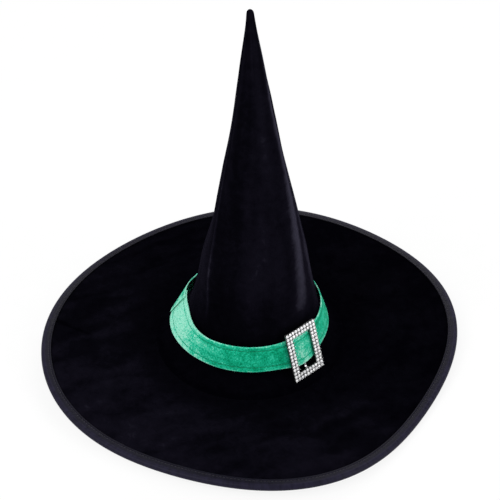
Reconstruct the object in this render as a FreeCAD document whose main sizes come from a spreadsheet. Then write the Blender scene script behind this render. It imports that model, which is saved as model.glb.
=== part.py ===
import FreeCAD, Part
import math
import os
import Sketcher

# Witch hat: a soft velvet cone on a wired brim, with a loose velvet band and a rhinestone slide buckle.
# Millimetres. +Z is up, the wearer's face looks towards -Y, and the origin is the centre of the head
# opening, level with the top cloth of the brim where the crown is sewn to it.

SIZES = {
    # crown
    "seam_radius": 95.5,        # crown at the seam with the brim
    "waist_radius": 65.3,       # crown where the flared foot ends
    "tip_radius": 3.0,          # blunt sewn tip
    "tip_cloth": 1.0,           # thickness of the cloth across the tip
    "crown_height": 370.0,
    "flare_height": 46.0,       # height of the flared foot
    "flare_power": 8.0,         # how tightly the foot curls out to the seam
    "cone_power": 1.24,         # above 1 the cone's side is slightly hollow
    "crown_bow": 5.5,           # sideways sag of the crown's centre line
    "fold_depth": 0.09,         # how far the four soft corners stand out, as a share of the radius
    "fold_rise": 110.0,         # height over which the round foot turns into the four-cornered cone
    # cloth
    "velvet": 1.3,
    "interlining": 0.8,
    "lining": 0.6,
    "layer_gap": 0.2,           # air between two layers of cloth
    "allowance_width": 9.0,     # pressed-open seam allowance at the back of the crown
    "allowance_gap": 0.8,
    "lining_start": 7.0,        # lower edge of the lining
    "interlining_start": 5.0,
    "interlining_end": 334.0,
    "lining_end": 296.0,
    # brim
    "brim_radius": 210.0,
    "brim_edge": 92.3,          # inner edge of the brim's layers
    "rim_lift": 3.7,            # height of the rim's largest wave
    "rim_sway": 5.0,            # how far the rim's largest wave reaches outwards
    "brim_cloth": 1.2,
    "brim_stiffening": 1.5,
    "binding_width": 10.0,
    "binding_cloth": 1.0,
    "wire_radius": 0.8,
    "wire_margin": 2.9,         # from the binding's outer face to the wire's centre
    "seam_gap": 0.3,            # between the crown's cut edge and the brim's top cloth
    "ferrule_wall": 0.5,
    "ferrule_length": 12.0,
    "ferrule_fit": 0.15,
    # head opening
    "opening_radius": 90.5,     # a head of 57 cm
    "sweatband_cloth": 1.2,
    "sweatband_height": 26.0,
    "sweatband_turn": 0.4,      # height where the sweatband leans in
    "sweatband_step": 0.3,      # the leaning part starts this far outside the upright part
    "sweatband_foot": 4.4,      # depth of its lower edge
    "tape_width": 6.0,
    "tape_cloth": 0.7,
    # hatband
    "band_level": 21.0,         # height of the band's lower edge
    "band_width": 26.4,
    "band_lean": 18.0,
    "band_cloth": 0.65,         # velvet of the band, doubled by the hems
    "band_hem": 5.0,
    "band_shift": 0.3,          # the loose band hangs a little to one side
    "band_room": 4.4,           # between the crown and the band's upper edge
    "band_hug": 5.8,            # how far the upper edge leans in where the band lies against the crown
    "band_hug_bearing": 195.0,  # middle of the stretch that lies against the crown
    "band_hug_reach": 55.0,     # degrees of that stretch to each side of its middle
    "band_overlap": 10.0,       # degrees of lap at the join
    "band_join": 172.0,         # bearing of the join
    "backing_cloth": 0.5,
    "stitch_radius": 0.3,
    "stitch_length": 3.0,
    "stitch_clear": 0.25,       # between a tack and the cloth under it
    "stitch_edge": 3.2,         # from a long edge of the band to the tack beside it
    # buckle
    "stone_pitch": 3.8,
    "stones_across": 10,
    "stones_up": 14,
    "stone_rows": 2,
    "stone_radius": 1.65,
    "stone_height": 1.5,
    "stone_table": 0.9,         # radius of the small flat on top of a stone
    "prong_radius": 0.38,
    "prong_tip": 0.23,
    "prong_height": 1.9,
    "plate": 1.2,
    "plate_corner": 1.4,
    "plate_margin": 0.1,
    "bar_width": 2.4,
    "bar_thickness": 1.4,
    "bar_bend": 2.2,            # outer radius of the bar's two bends
    "bar_seat": 1.2,            # how far each foot of the bar reaches behind the frame's ends
    "buckle_bearing": -47.5,
    "buckle_drop": 4.7,         # how far the buckle hangs below the middle of the band
    "buckle_clear": 0.5,        # between the band and the bar behind it
    "foot_clear": 0.3,          # between the buckle's lower edge and the crown's flared foot
}

doc = FreeCAD.newDocument("witch_hat")
sheet = doc.addObject("Spreadsheet::Sheet", "Sizes")
for row, (alias, value) in enumerate(SIZES.items(), start=1):
    sheet.set(f"A{row}", alias)
    sheet.set(f"B{row}", str(value))
    sheet.setAlias(f"B{row}", alias)
doc.recompute()


def size(name):
    """A driving dimension, read from the sheet."""
    return float(getattr(sheet, name))


def piece(name, shape):
    """A sub-part whose free-form shape comes from Part's own functions."""
    part = doc.addObject("Part::Feature", name)
    part.Shape = shape
    part.Label = name
    part.Placement = FreeCAD.Placement()
    return part


# ---------------------------------------------------------------- crown

SPOKES = 32
CORNERS = 4                   # soft folds up the cone
FOOT_STATIONS = (0.0, 0.03, 0.07, 0.2, 0.32, 0.72, 1.0)
CONE_STATIONS = (0.08, 0.2, 0.36, 0.52, 0.68, 0.82, 0.93, 0.985, 1.0)
BOW_START = 4                 # how soon the bow begins above the seam
BOW_END = 3                   # how late it ends below the tip


def eased(share):
    """Smooth step from 0 to 1."""
    share = min(1.0, max(0.0, share))
    return share * share * (3.0 - 2.0 * share)


def facets(first, second, closed=True):
    """Flat faces between two outlines with the same number of corners.

    A twisted quarter is split from its corner nearer the axis, so that parallel layers split alike.
    """
    pairs = list(zip(first, second))
    faces = []
    for (a, b), (d, c) in zip(pairs, pairs[1:] + pairs[:1] if closed else pairs[1:]):
        if abs((b - a).cross(d - a).dot(c - a)) < 1e-9:
            faces.append(flat_face(a, b, c, d))
        elif math.hypot(a.x, a.y) <= math.hypot(b.x, b.y):
            faces += [flat_face(a, b, c), flat_face(a, c, d)]
        else:
            faces += [flat_face(b, c, d), flat_face(b, d, a)]
    return faces


def flat_face(*corners):
    return Part.Face(Part.makePolygon(list(corners) + [corners[0]]))


def solid_from(faces):
    """Solid closed by faces that meet along their edges."""
    shell = Part.Shell(faces)
    shell.sewShape()
    solid = Part.Solid(shell)
    if solid.Volume < 0.0:
        solid.reverse()
    return solid


def ring_solid(outlines):
    """Ring whose section has one corner on each closed outline."""
    faces = []
    for first, second in zip(outlines, outlines[1:] + outlines[:1]):
        faces += facets(first, second)
    return solid_from(faces)


def crown_radius(height):
    """Radius across the flats of the crown: a flared foot, then a slightly hollow cone."""
    waist, flare, power = size("waist_radius"), size("flare_height"), size("cone_power")
    rise = size("crown_height") - flare
    taper = waist - size("tip_radius")
    if height >= flare:
        left = max(0.0, 1.0 - (height - flare) / rise)
        return size("tip_radius") + taper * left ** power
    below = 1.0 - height / flare
    cone = power * taper * flare / rise
    curl = size("seam_radius") - waist - cone
    return waist + cone * below + curl * below ** size("flare_power")


def crown_shift(height):
    """Sideways place of the crown's centre line: upright at the seam and tip, bowed between."""
    share = height / size("crown_height")
    return size("crown_bow") * (1.0 - (1.0 - share) ** BOW_START) * (1.0 - share ** BOW_END)


def fold_depth(height):
    """Share by which the four corners stand out: none at the foot, full above the band."""
    return size("fold_depth") * eased((height - size("flare_height")) / size("fold_rise"))


def crown_section(height, inset):
    """Level outline of the crown, moved in by the cloth that lies outside it."""
    radius, fold, shift = crown_radius(height) - inset, fold_depth(height), crown_shift(height)
    points = []
    for spoke in range(SPOKES):
        turn = 2.0 * math.pi * spoke / SPOKES
        reach = radius * (1.0 + fold * (1.0 - math.cos(CORNERS * turn)) / 2.0)
        points.append(FreeCAD.Vector(shift + reach * math.cos(turn), reach * math.sin(turn), height))
    return points


def crown_heights(start, end):
    """Heights of the crown's sections between two levels, shared by all its layers."""
    flare, height = size("flare_height"), size("crown_height")
    heights = {flare * share for share in FOOT_STATIONS}
    heights |= {flare + (height - flare) * share for share in CONE_STATIONS}
    heights |= {size(name) for name in ("interlining_start", "lining_start", "sweatband_height",
                                        "interlining_end", "lining_end")}
    return sorted(level for level in heights if start <= level <= end)


def crown_sections(inset, start, end):
    return [crown_section(height, inset) for height in crown_heights(start, end)]


def crown_layer(inset, cloth, start, end):
    """One open-ended layer of cloth in the crown."""
    outside = crown_sections(inset, start, end)
    inside = crown_sections(inset + cloth, start, end)
    return ring_solid(outside + inside[::-1])


def crown_skin():
    """The outermost cloth, sewn shut at the tip."""
    height = size("crown_height")
    outside = crown_sections(0.0, 0.0, height)
    inside = crown_sections(size("velvet"), 0.0, height - size("tip_cloth"))
    faces = [flat_face(*outside[-1]), flat_face(*inside[-1])]
    outlines = outside[::-1] + inside
    for first, second in zip(outlines, outlines[1:]):
        faces += facets(first, second)
    return solid_from(faces)


def inside_velvet():
    return size("velvet") + size("layer_gap")


def inside_interlining():
    return inside_velvet() + size("interlining") + size("layer_gap")


def inside_allowances():
    return inside_interlining() + size("allowance_gap")


def inside_lining():
    return inside_allowances() + size("lining") + size("layer_gap")


def build_crown():
    piece("crown_velvet", crown_skin())
    interlining = crown_layer(inside_velvet(), size("interlining"),
                              size("interlining_start"), size("interlining_end"))
    piece("crown_interlining", interlining)
    lining = crown_layer(inside_allowances(), size("lining"), size("lining_start"), size("lining_end"))
    piece("crown_lining", lining)
    cloth = size("allowance_gap") - size("layer_gap")
    allowance = crown_layer(inside_interlining(), cloth, size("lining_start"), size("lining_end"))
    width, gap, reach = size("allowance_width"), size("layer_gap"), size("seam_radius")
    strips = []
    for left in (-width - gap / 2.0, gap / 2.0):
        corner = FreeCAD.Vector(size("crown_bow") / 2.0 + left, 0.0, 0.0)
        strips.append(allowance.common(Part.makeBox(width, 2.0 * reach, size("crown_height"), corner)))
    piece("crown_back_seam_allowances", Part.makeCompound(strips))


# ---------------------------------------------------------------- brim

# Slow waves of the soft rim: how many go round it, size as a share of the largest, phase in degrees.
RIM_LIFT_WAVES = ((2, 0.86, 69.0), (3, 0.65, 164.0), (4, 1.0, 24.0))
RIM_SWAY_WAVES = ((1, 1.0, 81.0), (2, 0.36, 99.0), (3, 0.52, 135.0), (4, 0.74, 72.0), (5, 0.4, -9.0))
RIM_SPOKES = 48


def waves(table, turn):
    return sum(share * math.cos(count * turn - math.radians(phase)) for count, share, phase in table)


def rim_point(turn, inset, level):
    """Point of the brim at an inset from its outer edge and a level above its top cloth."""
    return brim_point(turn, rim_radius(turn) - inset, level)


def rim_radius(turn):
    return size("brim_radius") + size("rim_sway") * waves(RIM_SWAY_WAVES, turn)


def brim_point(turn, radius, level):
    """Point of the brim at a radius; the waves grow from the head opening out to the rim."""
    edge = size("brim_edge")
    lift = size("rim_lift") * waves(RIM_LIFT_WAVES, turn) * (radius - edge) / (rim_radius(turn) - edge)
    return FreeCAD.Vector(radius * math.cos(turn), radius * math.sin(turn), lift + level)


def spoke_turns():
    return [2.0 * math.pi * spoke / RIM_SPOKES for spoke in range(RIM_SPOKES)]


def rim_outline(inset, level):
    return [rim_point(turn, inset, level) for turn in spoke_turns()]


def brim_outline(radius, level):
    return [brim_point(turn, radius, level) for turn in spoke_turns()]


def brim_layer(top, cloth):
    """One layer of the brim, from its inner edge to the wire."""
    edge, fold, inset = size("brim_edge"), size("binding_width"), stack_inset()
    return ring_solid([brim_outline(edge, top), rim_outline(fold, top), rim_outline(inset, top),
                       rim_outline(inset, top - cloth), rim_outline(fold, top - cloth),
                       brim_outline(edge, top - cloth)])


def cloth_top():
    return -size("seam_gap")


def stiffening_top():
    return cloth_top() - size("brim_cloth") - size("layer_gap")


def underside_top():
    return stiffening_top() - size("brim_stiffening") - size("layer_gap")


def brim_bottom():
    return underside_top() - size("brim_cloth")


def wire_level():
    return (cloth_top() + brim_bottom()) / 2.0


def stack_inset():
    """From the rim's outer face to the cut edges of the three layers."""
    return size("wire_margin") + size("wire_radius") + size("ferrule_wall") + 2.0 * size("layer_gap")


def build_binding():
    """Strip folded round the edge: a flat leg above and below, joined by a round nose."""
    cloth, gap = size("binding_cloth"), size("layer_gap")
    width, middle = size("binding_width"), wire_level()
    outer = cloth_top() + gap + cloth - middle
    inner = outer - cloth
    nose = [(math.sin(math.radians(turn)), math.cos(math.radians(turn))) for turn in range(0, 181, 36)]
    outside = [rim_outline(outer * (1.0 - out), middle + outer * up) for out, up in nose]
    inside = [rim_outline(cloth + inner * (1.0 - out), middle + inner * up) for out, up in nose]
    outlines = [rim_outline(width, middle + outer)] + outside + [rim_outline(width, middle - outer)]
    outlines += [rim_outline(width, middle - inner)] + inside[::-1] + [rim_outline(width, middle + inner)]
    piece("brim_binding", ring_solid(outlines))


def build_wire():
    """Steel hoop of round section inside the binding, its ends closed by a crimped ferrule."""
    radius, margin, level = size("wire_radius"), size("wire_margin"), wire_level()
    corners = [math.radians(turn) for turn in range(0, 360, 60)]
    hoop = ring_solid([rim_outline(margin + radius * math.cos(turn), level + radius * math.sin(turn))
                       for turn in corners])
    piece("brim_wire", hoop)

    body = doc.addObject("PartDesign::Body", "wire_ferrule")
    body.Label = "wire_ferrule"
    sketch = body_sketch(body, "ferrule_section", "XY_Plane")
    for index, expression in enumerate((
            "Sizes.wire_radius + Sizes.ferrule_fit",
            "Sizes.wire_radius + Sizes.ferrule_fit + Sizes.ferrule_wall")):
        sketch.addGeometry(Part.Circle(FreeCAD.Vector(), FreeCAD.Vector(0, 0, 1), 1.0 + index), False)
        sketch.addConstraint(Sketcher.Constraint("Coincident", index, 3, -1, 1))
        sketch.setExpression(f"Constraints[{add_radius(sketch, index)}]", expression)
    pad = body.newObject("PartDesign::Pad", "ferrule_tube")
    pad.Profile = sketch
    pad.setExpression("Length", "Sizes.ferrule_length")
    pad.Midplane = True
    before, after = rim_outline(margin, level)[RIM_SPOKES // 4:RIM_SPOKES // 4 + 2]
    body.Placement = FreeCAD.Placement((before + after) / 2.0,
                                       FreeCAD.Rotation(FreeCAD.Vector(0, 0, 1), after - before))


def build_brim():
    piece("brim_top_velvet", brim_layer(cloth_top(), size("brim_cloth")))
    piece("brim_stiffener", brim_layer(stiffening_top(), size("brim_stiffening")))
    piece("brim_underside", brim_layer(underside_top(), size("brim_cloth")))
    build_binding()
    build_wire()


# ---------------------------------------------------------------- head opening

def build_sweatband():
    """Ribbon round the head opening: a short upright wall, then a collar that leans in with the crown."""
    cloth, turn, foot = size("sweatband_cloth"), size("sweatband_turn"), size("sweatband_foot")
    opening = size("opening_radius")
    flat = FreeCAD.Vector(0, 0, 1)
    wall = Part.makeCylinder(opening + cloth, turn + foot, FreeCAD.Vector(0, 0, -foot), flat)
    wall = wall.cut(Part.makeCylinder(opening, turn + foot, FreeCAD.Vector(0, 0, -foot), flat))
    start, end = size("interlining_start"), size("sweatband_height")
    across = opening + size("sweatband_step")
    outside = [ring_outline(across + cloth, turn)] + crown_sections(inside_lining(), start, end)
    inside = [ring_outline(across, turn)] + crown_sections(inside_lining() + cloth, start, end)
    collar = ring_solid(outside + inside[::-1])
    piece("sweatband", wall.fuse(collar))


def ring_outline(across, level):
    """Level outline round a circle that its flats touch, with one corner to each spoke of the crown."""
    reach = across / math.cos(math.pi / SPOKES)
    turns = [2.0 * math.pi * spoke / SPOKES for spoke in range(SPOKES)]
    return [FreeCAD.Vector(reach * math.cos(turn), reach * math.sin(turn), level) for turn in turns]


def build_opening_tape():
    """Tape on the underside, over the turned edge of the head opening."""
    edge, width = size("brim_edge"), size("tape_width")
    top = brim_bottom() - size("layer_gap")
    bottom = top - size("tape_cloth")
    piece("opening_tape", ring_solid([brim_outline(edge, top), brim_outline(edge + width, top),
                                      brim_outline(edge + width, bottom), brim_outline(edge, bottom)]))


# ---------------------------------------------------------------- hatband

BAND_STEP = 7.5               # degrees from one corner of the band to the next
FULL_TURN = 360.0


def band_top_height():
    return size("band_level") + size("band_width") * math.cos(math.radians(size("band_lean")))


def band_radius(up, depth):
    """Radius of the band at a distance up its slope and a depth behind its face."""
    lean = math.radians(size("band_lean"))
    cloth = 2.0 * size("band_cloth")
    upper = crown_radius(band_top_height()) + size("band_room") + cloth / math.cos(lean)
    return upper + (size("band_width") - up) * math.sin(lean) - depth * math.cos(lean)


def band_hug(turn):
    """How far the band's upper edge leans in towards the crown at a bearing."""
    half = FULL_TURN / 2.0
    away = abs((math.degrees(turn) - size("band_hug_bearing") + half) % FULL_TURN - half)
    return size("band_hug") * (1.0 - eased(away / size("band_hug_reach")))


def band_height(up, depth):
    lean = math.radians(size("band_lean"))
    return size("band_level") + up * math.cos(lean) - depth * math.sin(lean)


def band_outline(up, depth, reach):
    """Edge of a strip round the crown that may end on top of its own beginning."""
    lap = size("band_overlap")
    thick = 2.0 * size("band_cloth") + size("layer_gap")
    points = []
    for step in range(int(reach / BAND_STEP) + 1):
        along = BAND_STEP * step
        outward = thick * eased((along - FULL_TURN + 2.0 * lap) / (1.5 * lap))
        turn = math.radians(size("band_join") + along)
        radius = band_radius(up, depth - outward) - band_hug(turn) * up / size("band_width")
        points.append(FreeCAD.Vector(size("band_shift") + radius * math.cos(turn),
                                     radius * math.sin(turn), band_height(up, depth - outward)))
    return points


def band_solid(section, reach):
    """Strip with one corner of its section on each edge, closed at both ends."""
    edges = [band_outline(up, depth, reach) for up, depth in section]
    faces = [flat_face(*[edge[0] for edge in edges]), flat_face(*[edge[-1] for edge in edges])]
    for first, second in zip(edges, edges[1:] + edges[:1]):
        faces += facets(first, second, closed=False)
    return solid_from(faces)


def build_hatband():
    """Velvet strip with both long edges turned under, lapped over itself at the join."""
    width, hem, cloth = size("band_width"), size("band_hem"), size("band_cloth")
    section = ((0.0, 0.0), (width, 0.0), (width, 2.0 * cloth), (width - hem, 2.0 * cloth),
               (width - hem, cloth), (hem, cloth), (hem, 2.0 * cloth), (0.0, 2.0 * cloth))
    piece("hatband_strip", band_solid(section, FULL_TURN + size("band_overlap")))
    gap = size("layer_gap")
    near = cloth + gap / 2.0
    far = near + size("backing_cloth")
    low, high = hem + gap, width - hem - gap
    piece("hatband_backing", band_solid(((low, near), (high, near), (high, far), (low, far)),
                                        FULL_TURN - 2.0 * size("band_overlap")))
    build_band_stitches()


def build_band_stitches():
    """Tacks that hold the lap down, one near each long edge and one in the middle."""
    cloth, width, lap = size("band_cloth"), size("band_width"), size("band_overlap")
    radius, length = size("stitch_radius"), size("stitch_length")
    turn = math.radians(size("band_join") + lap / 2.0)
    outward = -(2.0 * cloth + size("layer_gap") + size("stitch_clear") + radius)
    stitches = []
    for up in (size("stitch_edge"), width / 2.0, width - size("stitch_edge")):
        reach = band_radius(up, outward) - band_hug(turn) * up / width
        spot = FreeCAD.Vector(size("band_shift") + reach * math.cos(turn), reach * math.sin(turn),
                              band_height(up, outward))
        along = FreeCAD.Vector(-math.sin(turn), math.cos(turn), 0.0)
        stitches.append(Part.makeCylinder(radius, length, spot - along * (length / 2.0), along))
    piece("hatband_tack_stitches", Part.makeCompound(stitches))


# ---------------------------------------------------------------- buckle

STANDOFF_STEPS = 40


def buckle_standoff():
    """From the band's face to the buckle's back, so that the buckle's foot clears the crown's flare."""
    lean = math.radians(size("band_lean"))
    half = size("stone_pitch") * size("stones_up") / 2.0 + size("plate_margin")
    down = size("band_width") / 2.0 - size("buckle_drop") - half
    standoff = size("buckle_clear")
    for _ in range(STANDOFF_STEPS):
        foot = band_height(down, -standoff)
        side = abs(size("band_shift") - crown_shift(foot))
        reach = crown_radius(foot) + side + size("foot_clear")
        standoff = max(standoff, standoff + (reach - band_radius(down, -standoff)) * math.cos(lean) / 2.0)
    return standoff


def buckle_placement():
    """Local X runs along the band, Y up its slope and Z out of its face."""
    up = size("band_width") / 2.0 - size("buckle_drop")
    standoff = buckle_standoff()
    bearing, lean = math.radians(size("buckle_bearing")), math.radians(size("band_lean"))
    out = FreeCAD.Vector(math.cos(bearing), math.sin(bearing), 0.0)
    radius = band_radius(up, -standoff)
    centre = FreeCAD.Vector(size("band_shift"), 0, 0) + out * radius
    centre.z = band_height(up, -standoff)
    along = FreeCAD.Vector(-math.sin(bearing), math.cos(bearing), 0.0)
    rise = FreeCAD.Vector(0, 0, math.cos(lean)) - out * math.sin(lean)
    return FreeCAD.Placement(centre, FreeCAD.Rotation(along, rise, along.cross(rise), "ZXY"))


def body_sketch(body, name, role):
    """Sketch on one of a body's own origin planes."""
    sketch = body.newObject("Sketcher::SketchObject", name)
    plane = next(feature for feature in body.Origin.OriginFeatures if feature.Role == role)
    sketch.AttachmentSupport = [(plane, "")]
    sketch.MapMode = "FlatFace"
    return sketch


def add_radius(sketch, geometry):
    return sketch.addConstraint(Sketcher.Constraint("Radius", geometry, sketch.Geometry[geometry].Radius))


def add_rectangle(sketch, width, height):
    """Rectangle centred on the sketch's origin, its two sides bound to expressions."""
    first = len(sketch.Geometry)
    corners = [FreeCAD.Vector(x, y, 0.0) for x, y in ((-9, -9), (9, -9), (9, 9), (-9, 9))]
    for start, end in zip(corners, corners[1:] + corners[:1]):
        sketch.addGeometry(Part.LineSegment(start, end), False)
    for line in range(4):
        following = first + (line + 1) % 4
        sketch.addConstraint(Sketcher.Constraint("Coincident", first + line, 2, following, 1))
        direction = "Vertical" if line % 2 else "Horizontal"
        sketch.addConstraint(Sketcher.Constraint(direction, first + line))
    sketch.addConstraint(Sketcher.Constraint("Symmetric", first, 1, first + 1, 2, -1, 1))
    across = sketch.addConstraint(Sketcher.Constraint("DistanceX", first, 1, first, 2, 18.0))
    sketch.setExpression(f"Constraints[{across}]", width)
    upward = sketch.addConstraint(Sketcher.Constraint("DistanceY", first + 1, 1, first + 1, 2, 18.0))
    sketch.setExpression(f"Constraints[{upward}]", height)


def build_plate():
    """Flat rectangular frame that carries two rows of settings round its window."""
    body = doc.addObject("PartDesign::Body", "buckle_frame")
    body.Label = "buckle_frame"
    sketch = body_sketch(body, "frame_outline", "XY_Plane")
    add_rectangle(sketch, "Sizes.stone_pitch * Sizes.stones_across + 2 * Sizes.plate_margin",
                  "Sizes.stone_pitch * Sizes.stones_up + 2 * Sizes.plate_margin")
    add_rectangle(sketch, "Sizes.stone_pitch * (Sizes.stones_across - 2 * Sizes.stone_rows)",
                  "Sizes.stone_pitch * (Sizes.stones_up - 2 * Sizes.stone_rows)")
    pad = body.newObject("PartDesign::Pad", "frame_plate")
    pad.Profile = sketch
    pad.setExpression("Length", "Sizes.plate")
    doc.recompute()
    half = size("stone_pitch") * size("stones_across") / 2.0 + size("plate_margin")
    corners = [f"Edge{index}" for index, edge in enumerate(pad.Shape.Edges, start=1)
               if upright(edge) and abs(abs(edge.CenterOfMass.x) - half) < 0.01]
    fillet = body.newObject("PartDesign::Fillet", "frame_corners")
    fillet.Base = (pad, corners)
    fillet.setExpression("Radius", "Sizes.plate_corner")
    body.Placement = buckle_placement()


def upright(edge):
    box = edge.BoundBox
    return box.XLength < 0.001 and box.YLength < 0.001


def cell_centres(row):
    """Middles of the square settings in one row round the window, 0 being the outermost."""
    pitch = size("stone_pitch")
    across, upward = int(size("stones_across")), int(size("stones_up"))
    cells = [(column, line) for column in range(row, across - row) for line in range(row, upward - row)
             if column in (row, across - row - 1) or line in (row, upward - row - 1)]
    return [((column - (across - 1) / 2.0) * pitch, (line - (upward - 1) / 2.0) * pitch)
            for column, line in cells]


def polygon(middle, radius, sides):
    """Level outline of a small cut stone or post."""
    turns = [2.0 * math.pi * side / sides for side in range(sides)]
    return [middle + FreeCAD.Vector(radius * math.cos(turn), radius * math.sin(turn), 0.0) for turn in turns]


def tapered(foot, radius, tip_radius, height, sides):
    """Many-sided post that narrows from its foot to its top."""
    low = polygon(foot, radius, sides)
    high = polygon(foot + FreeCAD.Vector(0, 0, height), tip_radius, sides)
    return solid_from(facets(low, high) + [flat_face(*low), flat_face(*high)])


def build_stones():
    """Cut stones: eight facets that rise from the setting to a small flat table."""
    radius, rise = size("stone_radius"), size("stone_height")
    for row, name in enumerate(("rhinestones_outer_row", "rhinestones_inner_row")):
        seats = [FreeCAD.Vector(across, upward, size("plate")) for across, upward in cell_centres(row)]
        group = piece(name, Part.makeCompound([tapered(seat, radius, size("stone_table"), rise, 8)
                                               for seat in seats]))
        group.Placement = buckle_placement()


def build_prongs():
    """Little posts at the corners of the settings, each gripping the stones round it."""
    pitch, rows = size("stone_pitch"), int(size("stone_rows"))
    across, upward = int(size("stones_across")), int(size("stones_up"))
    posts = []
    for column in range(across + 1):
        for line in range(upward + 1):
            if rows < column < across - rows and rows < line < upward - rows:
                continue
            inward = 1.0 - 2.0 * size("prong_radius") / (pitch * across)
            spot = FreeCAD.Vector((column - across / 2.0) * pitch * inward,
                                  (line - upward / 2.0) * pitch * inward, size("plate"))
            posts.append(tapered(spot, size("prong_radius"), size("prong_tip"), size("prong_height"), 4))
    group = piece("setting_prongs", Part.makeCompound(posts))
    group.Placement = buckle_placement()


def build_bar():
    """Flat bar soldered behind the frame, bent back at both ends so that the band passes in front."""
    body = doc.addObject("PartDesign::Body", "buckle_centre_bar")
    body.Label = "buckle_centre_bar"
    thick, bend = size("bar_thickness"), size("bar_bend")
    half = size("stone_pitch") * (size("stones_up") - 2 * size("stone_rows")) / 2.0 + size("bar_seat")
    depth = buckle_standoff() + 2.0 * size("band_cloth") + size("buckle_clear")
    sketch = body_sketch(body, "bar_side", "YZ_Plane")
    outside = staple(half, depth + thick, bend)
    inside = staple(half - thick, depth, bend - thick)
    for path in (outside, inside):
        left, left_turn, straight, right_turn, right = path
        for curve in (Part.LineSegment(*left), Part.Arc(*left_turn), Part.LineSegment(*straight),
                      Part.Arc(*right_turn), Part.LineSegment(*right)):
            sketch.addGeometry(curve, False)
    sketch.addGeometry(Part.LineSegment(outside[0][0], inside[0][0]), False)
    sketch.addGeometry(Part.LineSegment(outside[-1][1], inside[-1][1]), False)
    pad = body.newObject("PartDesign::Pad", "bar_strip")
    pad.Profile = sketch
    pad.setExpression("Length", "Sizes.bar_width")
    pad.Midplane = True
    body.Placement = buckle_placement()


def staple(half, depth, bend):
    """Side outline of the bar: two feet joined to a straight by quarter turns."""
    slope = bend * (1.0 - math.sqrt(0.5))
    spots = [FreeCAD.Vector(across, down, 0.0) for across, down in (
        (-half, 0.0), (-half, bend - depth), (slope - half, slope - depth), (bend - half, -depth),
        (half - bend, -depth), (half - slope, slope - depth), (half, bend - depth), (half, 0.0))]
    return ((spots[0], spots[1]), (spots[1], spots[2], spots[3]), (spots[3], spots[4]),
            (spots[4], spots[5], spots[6]), (spots[6], spots[7]))


def build_buckle():
    build_plate()
    build_stones()
    build_prongs()
    build_bar()


# ---------------------------------------------------------------- the hat

NODES = (
    "crown_velvet", "crown_interlining", "crown_lining", "crown_back_seam_allowances",
    "brim_top_velvet", "brim_stiffener", "brim_underside", "brim_binding", "brim_wire", "wire_ferrule",
    "sweatband", "opening_tape", "hatband_strip", "hatband_backing", "hatband_tack_stitches",
    "buckle_frame", "buckle_centre_bar", "setting_prongs", "rhinestones_outer_row", "rhinestones_inner_row",
)


def check_document():
    """Stops the build where an object failed or a sub-part's shape isn't sound."""
    for item in doc.Objects:
        if "Invalid" in item.State or "Error" in item.State:
            raise RuntimeError(f"{item.Name} failed: {item.State}")
    for name in NODES:
        shape = doc.getObjectsByLabel(name)[0].Shape
        if shape.isNull() or not shape.isValid():
            raise RuntimeError(f"{name} has no sound shape")


build_crown()
build_brim()
build_sweatband()
build_opening_tape()
build_hatband()
build_buckle()
doc.recompute()
check_document()
os.makedirs("parts", exist_ok=True)
for node in NODES:
    doc.getObjectsByLabel(node)[0].Shape.exportStep(f"parts/{node}.step")
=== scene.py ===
import math

import bpy
import numpy as np
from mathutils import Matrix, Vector, noise


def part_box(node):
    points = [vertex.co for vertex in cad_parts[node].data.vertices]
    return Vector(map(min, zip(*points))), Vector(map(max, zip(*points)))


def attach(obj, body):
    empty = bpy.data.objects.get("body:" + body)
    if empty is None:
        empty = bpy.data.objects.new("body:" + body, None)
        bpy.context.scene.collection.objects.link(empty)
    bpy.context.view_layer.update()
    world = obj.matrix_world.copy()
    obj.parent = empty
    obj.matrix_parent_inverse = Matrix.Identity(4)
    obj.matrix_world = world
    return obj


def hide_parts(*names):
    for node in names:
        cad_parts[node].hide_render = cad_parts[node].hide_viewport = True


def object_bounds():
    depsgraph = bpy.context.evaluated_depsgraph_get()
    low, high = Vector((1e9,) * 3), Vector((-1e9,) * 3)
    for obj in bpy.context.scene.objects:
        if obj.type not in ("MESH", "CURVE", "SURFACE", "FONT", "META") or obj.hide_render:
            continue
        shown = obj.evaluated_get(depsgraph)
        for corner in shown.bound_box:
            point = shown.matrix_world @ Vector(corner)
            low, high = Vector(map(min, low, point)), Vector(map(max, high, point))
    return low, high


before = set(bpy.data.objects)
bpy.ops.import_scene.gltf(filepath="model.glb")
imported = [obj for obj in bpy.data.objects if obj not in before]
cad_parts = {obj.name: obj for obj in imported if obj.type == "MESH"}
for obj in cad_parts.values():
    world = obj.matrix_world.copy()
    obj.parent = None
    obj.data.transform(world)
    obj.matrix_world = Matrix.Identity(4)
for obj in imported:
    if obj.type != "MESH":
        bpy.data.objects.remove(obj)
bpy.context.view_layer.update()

# Witch hat in black velvet with a green velvet band and a rhinestone buckle.
# Forms are worked out in millimetres in the CAD frame and turned into metres as each mesh is made.

MM = 0.001


def box_mm(node):
    low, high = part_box(node)
    return np.array(low) / MM, np.array(high) / MM


# ---------------------------------------------------------------- sizes, in millimetres

# Crown. Radii are across the flats; bearings run from +X, and -90 degrees is the front.
SEAM_RADIUS = box_mm("crown_velvet")[1][0]
CROWN_HEIGHT = box_mm("crown_velvet")[1][2]
WAIST_RADIUS = 65.3
TIP_RADIUS = 3.0
FLARE_HEIGHT = 46.0
FLARE_POWER = 8.0
CONE_POWER = 1.24
CROWN_BOW = 5.5
FOLD_DEPTH = 0.09
FOLD_RISE = 110.0
VELVET = 1.3
INTERLINING = 0.8
LINING = 0.6
LAYER_GAP = 0.2
ALLOWANCE_GAP = 0.8
ALLOWANCE_WIDTH = 9.0
PINKING = 0.5
TIP_DOME = 4.0
CROWN_DENT = 4.2
CROWN_PINCH = 1.2
TIP_FULLNESS = 0.7
INTERLINING_SPAN = (5.0, 334.0)
LINING_SPAN = (7.0, 296.0)
ALLOWANCE_SPAN = (8.0, 294.0)

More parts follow.
